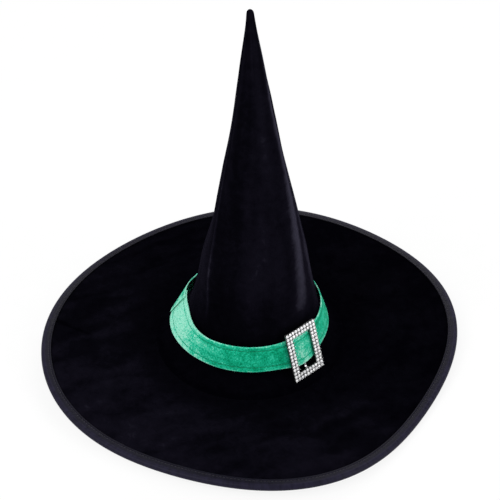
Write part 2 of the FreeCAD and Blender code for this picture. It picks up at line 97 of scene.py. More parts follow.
# Brim and its bound rim. Waves are (count, share, phase in degrees).
BRIM_RADIUS = 210.0
BRIM_EDGE = 92.3
BRIM_CLOTH = 1.2
BRIM_STIFFENING = 1.5
BINDING_WIDTH = 10.0
BINDING_CLOTH = 1.0
STITCH_INSET = 7.6
SEAM_GAP = 0.3
STACK_INSET = 4.6
RIM_LIFT = 3.7
RIM_SWAY = 5.0
RIM_LIFT_WAVES = ((2, 0.86, 69.0), (3, 0.65, 164.0), (4, 1.0, 24.0))
RIM_SWAY_WAVES = ((1, 1.0, 81.0), (2, 0.36, 99.0), (3, 0.52, 135.0), (4, 0.74, 72.0), (5, 0.4, -9.0))

# Head opening
OPENING_RADIUS = 90.5
SWEATBAND_CLOTH = 1.2
SWEATBAND_FOOT = box_mm("sweatband")[0][2]
SWEATBAND_BEND = 5.2
SWEATBAND_HEIGHT = 26.0
TAPE_WIDTH = 6.0
TAPE_CLOTH = 0.7
TAPE_CROWNING = 0.25

# Hatband. Its upper edge hugs the crown at the left; it sags inside the buckle and behind its lap.
BAND_LEVEL = 21.0
BAND_WIDTH = 26.4
BAND_LEAN = math.radians(18.0)
BAND_CLOTH = 0.65
BAND_HEM = 5.0
BAND_SEWN_LOW = BAND_HEM - 0.3
BAND_SEWN_HIGH = BAND_WIDTH - BAND_HEM + 0.3
BAND_NOISE_RADIUS = 75.0
BAND_SHIFT = 0.3
BAND_ROOM = 4.4
BAND_LAP = 10.0
BAND_JOIN = 160.0
BAND_HUG = 9.0
BAND_HUG_BEARING = 187.0
BAND_HUG_REACH = 52.0
BAND_DROOP = 5.5
BAND_DROOP_BEARING = -49.0
LAP_DROOP = 7.0
LAP_DROOP_BEARING = 150.0
BACKING_CLOTH = 0.5
BACKING_INSET = BAND_HEM + 0.4

# Stitches, as (pitch, length, thickness); the tacks stand in no row, so they have no pitch.
BINDING_STITCH = (3.4, 2.7, 0.42)
TAPE_STITCH = (3.6, 2.6, 0.4)
BAND_STITCH = (3.0, 2.5, 0.42)
TACK_INSET = 3.2
TACK_LENGTH = 3.2
TACK_WIDTH = 0.5

# Buckle
STONE_PITCH = 3.8
STONES_ACROSS = 10
STONES_UP = 14
STONE_ROWS = 2
STONE_RADIUS = 1.65
STONE_CUT = 1.04 * STONE_RADIUS
STONE_HEIGHT = 1.5
STONE_SEAT = 0.02
BEAD_RADIUS = 0.38
PLATE = 1.2
BUCKLE_BEARING = math.radians(-47.5)


# ---------------------------------------------------------------- mesh tools

def eased(share):
    share = np.clip(share, 0.0, 1.0)
    return share * share * (3.0 - 2.0 * share)


def bump(value, centre, width):
    """Soft hill of height 1 round a centre."""
    return np.exp(-((value - centre) / width) ** 2)


def turn_from(turn, centre):
    """Signed angle from a centre, between -pi and pi."""
    return (turn - centre + math.pi) % (2.0 * math.pi) - math.pi


def bearing_from(bearing, centre):
    """Signed bearing from a centre, between -180 and 180 degrees."""
    return (bearing - centre + 180.0) % 360.0 - 180.0


def clouds(points, scale, seed):
    """Smooth noise from -1 to 1 at points in millimetres; scale is the size of its lumps on each axis."""
    spots = np.asarray(points, float).reshape(-1, 3) / np.asarray(scale, float) + seed
    values = [noise.noise(Vector(spot)) for spot in spots]
    return np.array(values).reshape(np.shape(points)[:-1])


def lengths(points, axis):
    """Mean distance travelled along one axis of a grid, starting from 0."""
    steps = np.linalg.norm(np.diff(points, axis=axis), axis=-1).mean(axis=1 - axis)
    return np.concatenate([[0.0], np.cumsum(steps)])


def grid_object(name, points, material, wrap_rows=False, caps=(), painted_light_and_tone=None):
    """Mesh over a grid of points whose columns close on themselves.

    UVs are distances along the grid in centimetres. The value per point, from 0 to 1, is a tone with painted
    light and shade in it, which the material turns into colour.
    """
    rows, columns = points.shape[:2]
    across = np.concatenate([points, points[:, :1]], axis=1)
    along = np.concatenate([across, across[:1]], axis=0) if wrap_rows else across
    u, v = lengths(along, 1) / 10.0, lengths(along, 0) / 10.0
    row, column = np.meshgrid(np.arange(len(v) - 1), np.arange(len(u) - 1), indexing="ij")
    corners = np.stack([np.stack([row, column], -1), np.stack([row, column + 1], -1),
                        np.stack([row + 1, column + 1], -1), np.stack([row + 1, column], -1)], 2)
    corners = corners.reshape(-1, 4, 2)
    faces = (corners[..., 0] % rows) * columns + corners[..., 1] % columns
    uv = np.stack([u[corners[..., 1]], v[corners[..., 0]]], -1).reshape(-1, 2)
    lids = []
    for cap in caps:
        lid = cap * columns + np.arange(columns)
        lids.append(lid[::-1].tolist() if cap == 0 else lid.tolist())
    mesh = bpy.data.meshes.new(name)
    mesh.from_pydata((points.reshape(-1, 3) * MM).tolist(), [], faces.tolist() + lids)
    layer = mesh.uv_layers.new(name="cloth")
    flat = np.zeros((len(mesh.loops), 2))
    flat[:len(uv)] = uv
    layer.data.foreach_set("uv", flat.reshape(-1))
    if painted_light_and_tone is not None:
        mesh.attributes.new("painted_light_and_tone", "FLOAT", "POINT").data.foreach_set("value", np.ravel(painted_light_and_tone))
    return finished(mesh, name, material)


def finished(mesh, name, material, smooth=True):
    mesh.validate()
    mesh.polygons.foreach_set("use_smooth", [smooth] * len(mesh.polygons))
    mesh.materials.append(material)
    made = bpy.data.objects.new(name, mesh)
    bpy.context.scene.collection.objects.link(made)
    return made


def copies_object(name, shape, places, material, smooth=True):
    """Many copies of one small mesh, (vertices, faces), each at a 3x4 place, as one object."""
    vertices, faces = shape
    vertices = np.asarray(vertices, float)
    spots, all_faces = [], []
    for place in places:
        start = len(spots) * len(vertices)
        spots.append(vertices @ place[:, :3].T + place[:, 3])
        all_faces += [[corner + start for corner in face] for face in faces]
    mesh = bpy.data.meshes.new(name)
    mesh.from_pydata((np.concatenate(spots) * MM).tolist(), [], all_faces)
    return finished(mesh, name, material, smooth)


def place_at(spot, along, outward):
    """Place with X along one direction and Z as near as can be to another."""
    x = along / np.linalg.norm(along)
    z = outward - x * np.dot(outward, x)
    z = z / np.linalg.norm(z)
    return np.column_stack([x, np.cross(z, x), z, spot])


def stitch_shape(length, width):
    """One stitch: a soft capsule that dips into the cloth at both ends."""
    sides, stations = 8, 7
    vertices = []
    for station in range(stations):
        share = -1.0 + 2.0 * station / (stations - 1)
        girth = width / 2.0 * math.sqrt(max(0.04, 1.0 - abs(share) ** 3.0))
        dip = -0.6 * width * share ** 4
        for side in range(sides):
            turn = 2.0 * math.pi * side / sides
            vertices.append((share * length / 2.0, girth * math.cos(turn), dip + girth * math.sin(turn)))
    faces = [[sides * station + side, sides * station + (side + 1) % sides,
              sides * (station + 1) + (side + 1) % sides, sides * (station + 1) + side]
             for station in range(stations - 1) for side in range(sides)]
    faces += [list(range(sides))[::-1], [sides * (stations - 1) + side for side in range(sides)]]
    return vertices, faces


def stitch_row(name, path, outward, stitch, material):
    """Stitches along a path of points, each with the direction that faces out of the cloth."""
    pitch, length, width = stitch
    steps = np.linalg.norm(np.diff(path, axis=0), axis=1)
    travelled = np.concatenate([[0.0], np.cumsum(steps)])
    count = int(travelled[-1] / pitch)
    middles = (np.arange(count) + 0.5) * travelled[-1] / count
    ends = [np.stack([np.interp(middles + shift, travelled, path[:, axis]) for axis in range(3)], -1)
            for shift in (-length / 2.0, length / 2.0)]
    normals = np.stack([np.interp(middles, travelled, outward[:, axis]) for axis in range(3)], -1)
    places = [place_at((start + end) / 2.0, end - start, normal)
              for start, end, normal in zip(ends[0], ends[1], normals)]
    return copies_object(name, stitch_shape(length, width), places, material)


# ---------------------------------------------------------------- materials

class Nodes:
    """Short way to build a node material round one Principled BSDF."""

    def __init__(self, name, **values):
        self.material = bpy.data.materials.new(name)
        self.material.use_nodes = True
        self.tree = self.material.node_tree
        self.shader = self.tree.nodes["Principled BSDF"]
        for socket, value in values.items():
            self.shader.inputs[socket.replace("_", " ")].default_value = value

    def add(self, kind, links=(), **values):
        node = self.tree.nodes.new(kind)
        for field, value in values.items():
            setattr(node, field, value)
        for socket, source in dict(links).items():
            if hasattr(source, "links"):
                self.tree.links.new(source, node.inputs[socket])
            else:
                node.inputs[socket].default_value = source
        return node

    def colour(self, output):
        self.tree.links.new(output, self.shader.inputs["Base Color"])

    def roughness(self, output):
        self.tree.links.new(output, self.shader.inputs["Roughness"])

    def bumps(self, *layers):
        """Stacks bumps, each a (height output, strength, distance in metres)."""
        normal = None
        for height, strength, distance in layers:
            node = self.add("ShaderNodeBump", {"Height": height, "Strength": strength, "Distance": distance})
            if normal is not None:
                self.tree.links.new(normal, node.inputs["Normal"])
            normal = node.outputs["Normal"]
        self.tree.links.new(normal, self.shader.inputs["Normal"])

    def place(self, kind="Object", scale=(1.0, 1.0, 1.0)):
        spot = self.add("ShaderNodeTexCoord").outputs[kind]
        return self.add("ShaderNodeMapping", {"Vector": spot, "Scale": scale}).outputs["Vector"]

    def noise(self, where, scale, detail=3.0, rough=0.55, twist=0.0):
        return self.add("ShaderNodeTexNoise", {"Vector": where, "Scale": scale, "Detail": detail,
                                               "Roughness": rough, "Distortion": twist}).outputs["Fac"]

    def wave(self, where, scale, twist, direction, detail=1.0):
        return self.add("ShaderNodeTexWave", {"Vector": where, "Scale": scale, "Distortion": twist,
                                              "Detail": detail}, bands_direction=direction).outputs["Fac"]

    def maths(self, operation, *sources):
        return self.add("ShaderNodeMath", dict(enumerate(sources)), operation=operation).outputs[0]

    def ramp(self, source, *stops):
        node = self.add("ShaderNodeValToRGB", {"Fac": source})
        for stop, (position, colour) in enumerate(stops):
            if stop < 2:
                element = node.color_ramp.elements[stop]
                element.position = position
            else:
                element = node.color_ramp.elements.new(position)
            element.color = tuple(colour) + (1.0,)
        return node.outputs["Color"]

    def greys(self, source, *stops):
        return self.ramp(source, *((position, (value,) * 3) for position, value in stops))

    def shaded(self, base, shade):
        """Base colour multiplied by a shade."""
        return self.add("ShaderNodeMix", {0: 1.0, 6: base, 7: shade}, data_type="RGBA",
                        blend_type="MULTIPLY").outputs[2]


def velvet(name, tones, sheen, sheen_tint, lumps, lump_depth, mottling):
    """Cut pile: its tone follows a value per point that holds painted light and shade as well as the pile's
    own tone, with mottling and a soft sheen at the edges.
    """
    cloth = Nodes(name, Roughness=0.9, Sheen_Weight=sheen, Sheen_Roughness=0.35,
                  Sheen_Tint=tuple(sheen_tint) + (1.0,), Specular_IOR_Level=0.0)
    # Painted light and shade: the mesh's value per point moves the pile along its ramp of tones, from
    # painted shade to painted sheen.
    painted_light_and_tone = cloth.add("ShaderNodeAttribute", attribute_name="painted_light_and_tone").outputs["Fac"]
    mottled = cloth.noise(cloth.place(), lumps, detail=5.0, rough=0.62, twist=0.5)
    pile = cloth.noise(cloth.place(), 2200.0, detail=1.0)
    swing = cloth.maths("SUBTRACT", mottled, 0.5)
    swing = cloth.maths("MULTIPLY_ADD", swing, mottling, painted_light_and_tone)
    shade = cloth.greys(pile, (0.3, 0.7), (0.65, 1.0))
    cloth.colour(cloth.shaded(cloth.ramp(swing, *tones), shade))
    cloth.bumps((mottled, 0.45, lump_depth), (pile, 0.5, 0.0003))
    return cloth.material


def black_velvet():
    # The darkest stop serves the painted shade and the lightest, purple-grey one the painted sheen on the
    # crown's right-hand corner.
    tones = ((0.0, (0.0006, 0.0005, 0.0014)), (0.3, (0.0020, 0.0018, 0.0034)),
             (0.6, (0.0052, 0.0046, 0.0086)), (1.0, (0.032, 0.030, 0.046)))
    return velvet("black_velvet_pile", tones, 0.03, (0.52, 0.46, 0.78), 120.0, 0.0009, 0.5)


def green_velvet():
    # The lightest, minty stops give the band's painted sheen and highlights; the darker stops give the
    # painted shade in its stitch grooves.
    tones = ((0.0, (0.001, 0.10, 0.045)), (0.35, (0.003, 0.31, 0.15)), (0.62, (0.012, 0.52, 0.30)),
             (0.8, (0.07, 0.68, 0.44)), (1.0, (0.38, 0.90, 0.69)))
    return velvet("green_velvet_pile", tones, 0.12, (0.6, 1.0, 0.84), 620.0, 0.0008, 1.5)


WAVE_TURN = 6.283  # the turn that a wave texture of scale 1 makes over one unit of its input


def woven(name, dark, light, roughness, threads, specular=0.3):
    """Plain weave on the piece's own lengths: threads to the centimetre, over and under."""
    cloth = Nodes(name, Roughness=roughness, Specular_IOR_Level=specular)
    where = cloth.place("UV")
    warp = cloth.wave(where, threads / WAVE_TURN, 0.4, "X")
    weft = cloth.wave(where, threads / WAVE_TURN, 0.4, "Y")
    weave = cloth.maths("MULTIPLY", warp, weft)
    worn = cloth.noise(cloth.place(), 30.0, detail=4.0)
    base = cloth.ramp(worn, (0.3, dark), (0.7, light))
    shade = cloth.greys(weave, (0.0, 0.7), (0.6, 1.0))
    cloth.colour(cloth.shaded(base, shade))
    cloth.bumps((worn, 0.15, 0.002), (weave, 0.45, 0.00025))
    return cloth.material


def ribbed(name, dark, light, ribs, direction):
    """Corded ribbon: ribs to the centimetre across one direction of the piece."""
    cloth = Nodes(name, Roughness=0.5, Specular_IOR_Level=0.4)
    rib = cloth.wave(cloth.place("UV"), ribs / WAVE_TURN, 0.25, direction)
    worn = cloth.noise(cloth.place(), 40.0)
    base = cloth.ramp(worn, (0.3, dark), (0.7, light))
    shade = cloth.greys(rib, (0.0, 0.6), (0.5, 1.0))
    cloth.colour(cloth.shaded(base, shade))
    cloth.bumps((worn, 0.1, 0.002), (rib, 0.6, 0.0003))
    return cloth.material


def satin_binding():
    """Smooth folded strip, slightly rippled by its seam; a value per point paints light and shade on it,
    full tone on the rolled outer edge and painted shade further in.
    """
    cloth = Nodes("satin_binding_cloth", Roughness=0.5, Specular_IOR_Level=0.09, Sheen_Weight=0.02,
                  Sheen_Tint=(0.6, 0.54, 0.85, 1.0))
    ripple = cloth.noise(cloth.place("UV", scale=(1.0, 0.25, 1.0)), 3.0, detail=3.0)
    weft = cloth.wave(cloth.place("UV"), 5.0, 0.5, "Y", detail=2.0)
    base = cloth.ramp(ripple, (0.3, (0.006, 0.0052, 0.013)), (0.7, (0.015, 0.0132, 0.030)))
    # Painted light and shade from the mesh's value per point.
    fold = cloth.add("ShaderNodeAttribute", attribute_name="painted_light_and_tone").outputs["Fac"]
    cloth.colour(cloth.shaded(base, cloth.greys(fold, (0.0, 0.12), (1.0, 1.0))))
    cloth.roughness(cloth.greys(ripple, (0.3, 0.42), (0.7, 0.58)))
    cloth.bumps((ripple, 0.3, 0.0012), (weft, 0.2, 0.0001))
    return cloth.material


def thread(name, dark, light):
    """Two-ply sewing thread."""
    ply = Nodes(name, Roughness=0.55, Specular_IOR_Level=0.35)
    twist = ply.noise(ply.place(), 1800.0, detail=1.0)
    ply.colour(ply.ramp(twist, (0.35, dark), (0.65, light)))
    ply.bumps((twist, 0.5, 0.0002))
    return ply.material


def metal(name, dark, light, roughness, grain):
    """Plated metal with faint cloudy wear and a fine grain."""
    plate = Nodes(name, Metallic=1.0)
    worn = plate.noise(plate.place(), grain, detail=4.0)
    plate.colour(plate.ramp(worn, (0.3, dark), (0.7, light)))
    plate.roughness(plate.greys(worn, (0.3, roughness), (0.75, roughness * 1.7)))
    plate.bumps((worn, 0.2, 0.0002))
    return plate.material


def rhinestone():
    """Cut glass, foiled behind: each stone has a tone of its own."""
    stone = Nodes("foiled_cut_glass", Metallic=0.1, Roughness=0.15, Specular_IOR_Level=0.8, IOR=1.6,
                  Coat_Weight=1.0, Coat_Roughness=0.02, Coat_IOR=1.6)
    tone = stone.noise(stone.place(), 420.0, detail=0.0)
    stone.colour(stone.ramp(tone, (0.3, (0.88, 0.88, 0.91)), (0.6, (1.0, 1.0, 1.0))))
    return stone.material


BLACK_VELVET = black_velvet()
GREEN_VELVET = green_velvet()
BINDING = satin_binding()
INTERLINING_CLOTH = woven("stiff_interlining", (0.02,) * 3, (0.035,) * 3, 0.8, 9.0)
LINING_CLOTH = woven("lining_cloth_weave", (0.006, 0.006, 0.008), (0.013, 0.013, 0.017), 0.45, 16.0,
                     specular=0.45)
RIBBON = ribbed("corded_ribbon", (0.008, 0.008, 0.010), (0.018, 0.018, 0.022), 9.0, "X")
TAPE_WEAVE = ribbed("opening_tape_twill", (0.008, 0.008, 0.010), (0.016, 0.016, 0.020), 14.0, "DIAGONAL")
BLACK_THREAD = thread("black_thread", (0.010, 0.009, 0.014), (0.035, 0.032, 0.045))
GREEN_THREAD = thread("green_thread_ply", (0.003, 0.17, 0.09), (0.015, 0.33, 0.19))
SILVER = metal("silver_plate_worn", (0.62, 0.62, 0.63), (0.86, 0.86, 0.87), 0.16, 60.0)
# A darker copy of the silver plate: painted shade on the frame and the cups between the stones.
SHADED_SILVER = metal("silver_plate_painted_shade", (0.10,) * 3, (0.22,) * 3, 0.3, 60.0)
STEEL = metal("spring_steel_drawn", (0.35, 0.36, 0.38), (0.5, 0.51, 0.53), 0.28, 300.0)
STONE = rhinestone()


# ---------------------------------------------------------------- crown

CORNERS = 4
CROWN_NOISE_RADIUS = 60.0
TIP_ROWS = (3.0, 2.0, 1.2, 0.6, 0.25, 0.08)  # extra rows, below the tip
CROWN_TURNS = np.linspace(0.0, 2.0 * math.pi, 320, endpoint=False) + math.pi / 2.0
BACK = math.pi / 2.0
FRONT = -math.pi / 2.0


def crown_radius(height):
    """Radius across the flats of the crown: a flared foot, then a slightly hollow cone."""
    rise, taper = CROWN_HEIGHT - FLARE_HEIGHT, WAIST_RADIUS - TIP_RADIUS
    left = np.clip(1.0 - (height - FLARE_HEIGHT) / rise, 0.0, 1.0)
    below = np.clip(1.0 - height / FLARE_HEIGHT, 0.0, 1.0)
    cone = CONE_POWER * taper * FLARE_HEIGHT / rise
    curl = SEAM_RADIUS - WAIST_RADIUS - cone
    foot = WAIST_RADIUS + cone * below + curl * below ** FLARE_POWER
    return np.where(height >= FLARE_HEIGHT, TIP_RADIUS + taper * left ** CONE_POWER, foot)


def crown_shift(height):
    """How far the crown's middle stands to the right at a height."""
    share = height / CROWN_HEIGHT
    return CROWN_BOW * (1.0 - (1.0 - share) ** 4) * (1.0 - share ** 3)


def ridge_spread(height):
    """Bearing of the front corners from the front, in radians: they part on the way up."""
    return np.radians(48.0 + 19.0 * np.clip((height - 50.0) / 192.0, 0.0, 1.1))


def crown_folds(turn, height):
    """The four soft corners: narrow ridges with flatter cloth between them."""
    fold = FOLD_DEPTH * eased((height - FLARE_HEIGHT) / FOLD_RISE)
    ridge = ((1.0 - np.cos(CORNERS * turn)) / 2.0) ** 1.25
    return 1.0 + fold * ridge


def around_crown(turn, height):
    radius = CROWN_NOISE_RADIUS
    return np.stack([radius * np.cos(turn), radius * np.sin(turn), height], -1)


def crown_creases(turn, height):
    """Wrinkles in millimetres, inwards only beside the band and the buckle."""
    around = around_crown(turn, height)
    hanging = clouds(around, (26.0, 26.0, 95.0), 3.1)
    slack = clouds(around, (55.0, 55.0, 60.0), 8.7)
    small = clouds(around, (11.0, 11.0, 24.0), 5.9)
    free = eased((height - 60.0) / 45.0) * eased((CROWN_HEIGHT + 8.0 - height) / 60.0)
    drape = 0.9 * hanging + 1.3 * slack + 0.3 * small
    front = turn_from(turn, FRONT)
    sharp = 1.5 * bump(front, -ridge_spread(height), 0.055) + 0.8 * bump(front, ridge_spread(height), 0.11)
    back = turn_from(turn, BACK)
    seam = -0.7 * bump(back, 0.0, 0.018) + 0.25 * bump(np.abs(back), 0.06, 0.03)
    puckers = -0.55 * (0.5 + 0.5 * np.cos(58.0 * turn + 3.0 * slack)) * bump(height, 3.0, 4.0)
    low = -0.45 * np.abs(hanging + small) * bump(height, 26.0, 16.0)
    return free * (drape + sharp) + seam * eased(height / 12.0) + puckers + low


def crown_tone_and_painted_light(turn, height):
    """Tone of the crown's pile, from 0 to 1, with painted light in it: a broad painted sheen down its
    right-hand front corner, a thin painted highlight along the left one and down the right-hand edge,
    painted shade below the band and at the foot, and random strokes and mottling.
    """
    around = around_crown(turn, height)
    strokes = clouds(around, (15.0, 15.0, 70.0), 61.3)
    cloudy = clouds(around, (34.0, 34.0, 60.0), 27.9)
    front = turn_from(turn, FRONT)
    # Painted highlights: a broad sheen down the right-hand front corner, a thin line down the left one and a
    # light line down the right-hand edge.
    right = bump(front, ridge_spread(height) + 0.04, 0.20) * eased((height - 48.0) / 30.0)
    left = bump(front, -ridge_spread(height), 0.035) * eased((height - 48.0) / 30.0)
    edge = bump(front, 1.5, 0.16) * eased((height - 50.0) / 30.0)
    # Painted light and shade: lighter higher up and towards the front, darker below the band, a little
    # darker left of the front and at the very foot where the crown meets the brim.
    above = eased((height - 44.0) / 14.0)
    middle = bump(front, 0.25, 0.55)
    higher = 0.55 + 0.55 * eased((height - 60.0) / 60.0)
    painted_light_and_tone = 0.14 + 0.34 * above * higher * (0.6 + 0.4 * middle) + 0.62 * right + 0.34 * left + 0.4 * edge
    painted_light_and_tone = painted_light_and_tone - 0.10 * bump(front, -0.55, 0.3) * above
    painted_light_and_tone = (painted_light_and_tone + above * (0.13 * strokes + 0.12 * cloudy)) * eased(height / 4.0)
    return np.clip(painted_light_and_tone, 0.0, 1.0)


def crown_surface(turn, height, inset):
    """Point of the crown's cloth at a depth behind its outer face."""
    radius = crown_radius(height)
    dome = np.clip((height - (CROWN_HEIGHT - TIP_DOME)) / TIP_DOME, 0.0, 1.0)
    radius = radius * np.sqrt(np.clip(1.0 - dome ** 2, 0.0, 1.0))
    slim = np.clip(radius / 12.0, 0.0, 1.0)
    reach = (radius + crown_creases(turn, height) * slim) * crown_folds(turn, height) - inset
    left = bump(turn_from(turn, math.radians(BAND_HUG_BEARING)), 0.0, 0.85)
    reach = reach - CROWN_DENT * left * eased((height - 26.0) / 15.0) * eased((115.0 - height) / 60.0)
    pinch = CROWN_PINCH * bump(height, 140.0, 45.0)
    reach = np.maximum(reach - pinch + TIP_FULLNESS * bump(height, 325.0, 28.0), 0.3)
    reach = np.where(height > CROWN_HEIGHT - 0.01, 0.02, reach)
    middle = crown_shift(height) + pinch
    return np.stack([middle + reach * np.cos(turn), reach * np.sin(turn), height + 0.0 * turn], -1)


def crown_layer(name, inset, cloth, span, material, rows=90, closed=False):
    """One layer of cloth as a closed skin: up its outer face and down its inner face."""
    start, end = span
    heights = start + (end - start) * np.linspace(0.0, 1.0, rows) ** 1.35
    heights = np.insert(heights, 1, start + 0.01)
    if closed:
        heights = np.union1d(heights, end - np.array(TIP_ROWS))
    turn, height = np.meshgrid(CROWN_TURNS, heights)
    outside = crown_surface(turn, height, inset)
    painted_light_and_tone = [crown_tone_and_painted_light(turn, height)]
    if closed:
        turn, height = np.meshgrid(CROWN_TURNS, heights[heights < end - 6.0])
    inside = crown_surface(turn, height, inset + cloth)[::-1]
    painted_light_and_tone.append(0.0 * inside[..., 0])
    return grid_object(name, np.concatenate([outside, inside]), material, wrap_rows=True,
                       painted_light_and_tone=np.concatenate(painted_light_and_tone))


def build_crown():
    whole = (0.0, CROWN_HEIGHT)
    velvet_skin = crown_layer("crown_velvet_cloth", 0.0, VELVET, whole, BLACK_VELVET, 230, True)
    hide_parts("crown_velvet")
    depth = VELVET + LAYER_GAP
    stiff = crown_layer("crown_interlining_cloth", depth, INTERLINING, INTERLINING_SPAN, INTERLINING_CLOTH)
    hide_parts("crown_interlining")
    depth += INTERLINING + LAYER_GAP
    allowances = build_allowances(depth)
    depth += ALLOWANCE_GAP
    lining = crown_layer("crown_lining_cloth", depth, LINING, LINING_SPAN, LINING_CLOTH, 120)
    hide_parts("crown_lining")
    return [velvet_skin, stiff, lining] + allowances


def build_allowances(depth):
    """The two pressed-open edges of the back seam, pinked along their cut side."""
    made = []
    heights = np.linspace(*ALLOWANCE_SPAN, 150)
    width = ALLOWANCE_WIDTH + PINKING * np.where(np.arange(len(heights)) % 2, 1.0, -1.0)
    for side, name in ((-1.0, "left"), (1.0, "right")):
        turn = np.stack([BACK + side * width * share / np.maximum(crown_radius(heights), 12.0)
                         for share in (0.02, 0.35, 0.7, 1.0)], 1)
        height = np.repeat(heights[:, None], turn.shape[1], 1)
        outside = crown_surface(turn, height, depth)
        inside = crown_surface(turn, height, depth + ALLOWANCE_GAP - LAYER_GAP)[:, ::-1]
        skin = np.concatenate([outside, inside], 1)
        strip = grid_object(f"back_seam_allowance_{name}", skin, BLACK_VELVET, caps=(0, len(heights) - 1))
        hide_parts("crown_back_seam_allowances")
        made.append(strip)
    return made


# ---------------------------------------------------------------- brim

BRIM_TURNS = np.linspace(0.0, 2.0 * math.pi, 480, endpoint=False) + math.pi / 2.0
CLOTH_TOP = -SEAM_GAP
STIFFENING_TOP = CLOTH_TOP - BRIM_CLOTH - LAYER_GAP
UNDERSIDE_TOP = STIFFENING_TOP - BRIM_STIFFENING - LAYER_GAP
BRIM_BOTTOM = UNDERSIDE_TOP - BRIM_CLOTH
WIRE_LEVEL = (CLOTH_TOP + BRIM_BOTTOM) / 2.0
CREASE_BEARING = 175.4
CREASE_START = 202.0
# Bearing of the brim's painted sheen, at the front left.
PAINTED_LIGHT_BEARING = math.radians(234.0)
BRIM_TONE_AND_LIGHT_LIMIT = 0.66
BINDING_OUTER = CLOTH_TOP + LAYER_GAP + BINDING_CLOTH - WIRE_LEVEL


def waves(table, turn):
    """Sum of waves round the rim, each a (count, share, phase in degrees)."""
    return sum(share * np.cos(count * turn - math.radians(phase)) for count, share, phase in table)


def rim_radius(turn):
    return BRIM_RADIUS + RIM_SWAY * waves(RIM_SWAY_WAVES, turn)


def brim_lift(turn, radius):
    return RIM_LIFT * waves(RIM_LIFT_WAVES, turn) * (radius - BRIM_EDGE) / (rim_radius(turn) - BRIM_EDGE)


def brim_surface(turn, radius, level, creases=0.0):
    height = brim_lift(turn, radius) + level + creases
    return np.stack([radius * np.cos(turn), radius * np.sin(turn), height], -1)


def flat_points(turn, radius):
    return np.stack([radius * np.cos(turn), radius * np.sin(turn), 0.0 * turn], -1)


def sharp_crease(turn, radius):
    """The one hard crease in the brim, at the left, running in from the binding."""
    centre = np.radians(CREASE_BEARING + 0.16 * (CREASE_START - radius))
    inwards = eased((radius - 158.0) / 14.0) * eased((rim_radius(turn) - 8.0 - radius) / 4.0)
    return bump(turn_from(turn, centre) * radius, 0.0, 1.6) * inwards


def brim_strokes(turn, radius):
    """Wavy strokes brushed into the pile, 1 on a stroke's dark side; the brim's painted sheen makes them
    show most at the front left.
    """
    spots = flat_points(turn, radius)
    bent = clouds(spots, (30.0, 30.0, 1.0), 77.1)[..., None] * np.array((9.0, 14.0, 0.0))
    spots = spots + bent
    slanted = np.stack([spots[..., 0] + 0.45 * spots[..., 1], spots[..., 1] - 0.45 * spots[..., 0],
                        spots[..., 2]], -1)
    return np.clip(2.2 * clouds(slanted, (44.0, 13.0, 1.0), 52.6), -1.0, 1.0)


def brim_creases(turn, radius):
    """Shallow drape of the brim's top cloth, with puckers where the crown is sewn on."""
    flat = flat_points(turn, radius)
    free = eased((radius - 104.0) / 22.0) * eased((rim_radius(turn) - 13.0 - radius) / 18.0)
    wide = clouds(flat, (48.0, 48.0, 1.0), 21.3)
    puckers = 0.2 * (0.5 + 0.5 * np.cos(64.0 * turn + 2.0 * wide)) * bump(radius, SEAM_RADIUS + 5.0, 5.0)
    groove = -0.18 * bump(radius, SEAM_RADIUS + 0.8, 1.2)
    crease = -0.7 * sharp_crease(turn, radius)
    return free * (0.45 * wide + 0.3 * brim_strokes(turn, radius)) + puckers + groove + crease


def brim_tone_and_painted_light(turn, radius):
    """Tone of the brim's pile, from 0 to 1, with painted light in it: a painted sheen at the left and the
    front, darker at the right, painted shade near the crown and in the sharp crease, and random mottling and
    strokes.
    """
    flat = flat_points(turn, radius)
    cloudy = clouds(flat, (42.0, 42.0, 1.0), 91.4)
    fine = clouds(flat, (12.0, 12.0, 1.0), 18.2)
    # Painted light: a broad sheen towards the front left, fading to dark at the right; the strokes show most
    # where it is lit.
    side = (1.0 + np.cos(turn - PAINTED_LIGHT_BEARING)) / 2.0
    base = 0.10 + 0.52 * side ** 2
    strokes = brim_strokes(turn, radius) * (0.35 + 0.65 * side)
    # Painted shade: darker near the crown's foot.
    edge = eased((radius - SEAM_RADIUS - 6.0) / 34.0)
    painted_light_and_tone = base * (0.35 + 0.65 * edge) + edge * (0.14 * cloudy + 0.09 * fine + 0.19 * strokes - 0.02)
    painted_light_and_tone = BRIM_TONE_AND_LIGHT_LIMIT * np.tanh(painted_light_and_tone / BRIM_TONE_AND_LIGHT_LIMIT)
    # Painted shade in the sharp crease.
    return np.clip(painted_light_and_tone - 0.5 * sharp_crease(turn, radius), 0.0, 1.0)


def brim_layer(name, top, cloth, material, creased, rows=110):
    radii = np.linspace(0.0, 1.0, rows)[:, None]
    turn = np.repeat(BRIM_TURNS[None, :], rows, 0)
    radius = BRIM_EDGE + radii * (rim_radius(turn) - STACK_INSET - BRIM_EDGE)
    creases = brim_creases(turn, radius) if creased else 0.0
    upper = brim_surface(turn, radius, top, creases)
    lower = brim_surface(turn, radius, top - cloth)[::-1]
    painted_light_and_tone = np.concatenate([brim_tone_and_painted_light(turn, radius), 0.0 * turn]) if creased else None
    return grid_object(name, np.concatenate([upper, lower]), material, wrap_rows=True, painted_light_and_tone=painted_light_and_tone)


